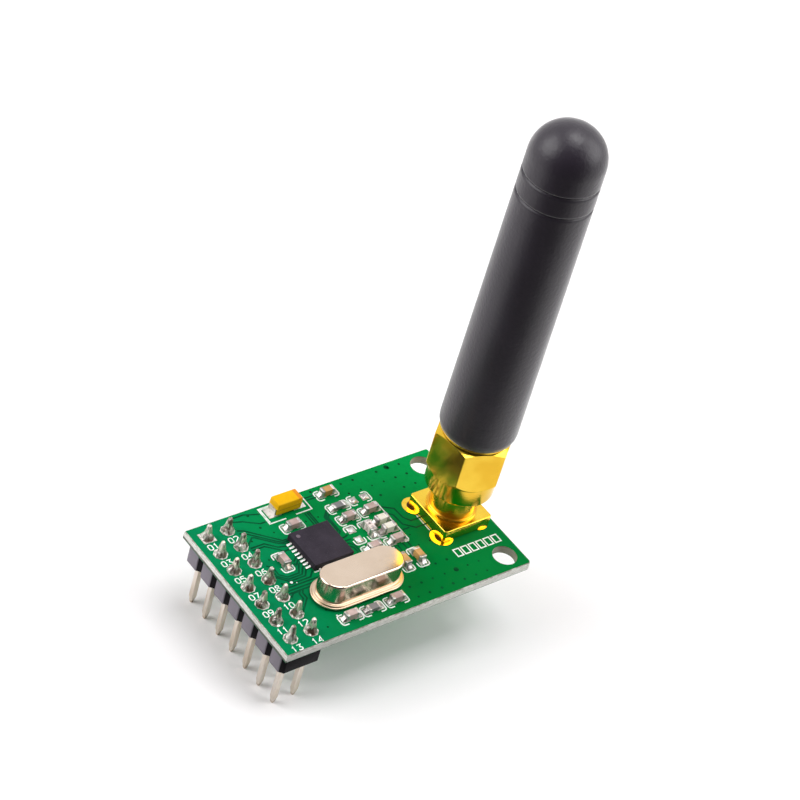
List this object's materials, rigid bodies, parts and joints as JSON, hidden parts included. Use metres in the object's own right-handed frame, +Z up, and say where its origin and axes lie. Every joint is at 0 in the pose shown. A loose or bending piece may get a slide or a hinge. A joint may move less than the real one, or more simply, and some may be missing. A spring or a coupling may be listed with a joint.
{
  "type": "wireless transceiver module",
  "caption": "Small green circuit board with a double pin header under one end and a coaxial connector carrying a short screwed-on rubber antenna at the other.",
  "frame": {"origin": "middle of the pin field on the underside of the header's plastic, the face that meets the socket", "axes": "+X along the board from the header towards the antenna, +Y across the board, +Z up through the antenna"},
  "size_m": [0.0319, 0.0188, 0.061],
  "materials": {
    "solder_mask": "glossy green solder mask over glass-epoxy laminate",
    "gold_plate": "polished gold plate over brass",
    "tin": "satin tin and solder",
    "spring_steel": "satin spring wire",
    "header_plastic": "satin black moulding",
    "chip_plastic": "matt black moulding compound",
    "nickel_can": "satin warm nickel plate",
    "seal_glass": "dark sealing glass",
    "quartz": "clear ground quartz",
    "tantalum_plastic": "satin yellow moulding",
    "pink_ceramic": "matt fired ceramic",
    "tan_ceramic": "matt fired ceramic",
    "white_ceramic": "matt fired ceramic",
    "resistor_glaze": "black glaze",
    "insulator_plastic": "white fluoropolymer",
    "gasket_rubber": "red silicone",
    "core_plastic": "natural nylon",
    "sleeve_rubber": "satin black moulded rubber"
  },
  "bodies": {
    "root": {"antenna_coil": "spring_steel", "antenna_sleeve": "sleeve_rubber", "capacitor_01": "tan_ceramic", "capacitor_02": "pink_ceramic", "capacitor_03": "pink_ceramic", "capacitor_04": "pink_ceramic", "capacitor_05": "pink_ceramic", "capacitor_06": "pink_ceramic", "capacitor_07": "pink_ceramic", "capacitor_08": "tan_ceramic", "capacitor_09": "tan_ceramic", "capacitor_10": "pink_ceramic", "capacitor_11": "pink_ceramic", "capacitor_caps": "tin", "chip_solder": "tin", "circuit_board": "solder_mask", "coil_core": "core_plastic", "connector_body": "gold_plate", "connector_contact": "gold_plate", "connector_insulator": "insulator_plastic", "connector_solder": "tin", "coupling_nut": "gold_plate", "crystal_base": "nickel_can", "crystal_blank": "quartz", "crystal_can": "nickel_can", "crystal_leads": "tin", "crystal_seals": "seal_glass", "crystal_solder": "tin", "gasket": "gasket_rubber", "gold_lands": "gold_plate", "header_housing": "header_plastic", "header_lands": "tin", "header_pins": "tin", "header_solder": "tin", "inductor_01": "white_ceramic", "inductor_02": "white_ceramic", "inductor_03": "white_ceramic", "inductor_caps": "tin", "plug_insulator": "insulator_plastic", "plug_pin": "gold_plate", "plug_shell": "gold_plate", "radio_chip_body": "chip_plastic", "radio_chip_leads": "tin", "resistor_01": "resistor_glaze", "resistor_02": "resistor_glaze", "resistor_caps": "tin", "snap_ring": "spring_steel", "tantalum_case": "tantalum_plastic", "tantalum_straps": "tin", "tinned_lands": "tin", "underside_lands": "tin"}
  },
  "joints": []
}
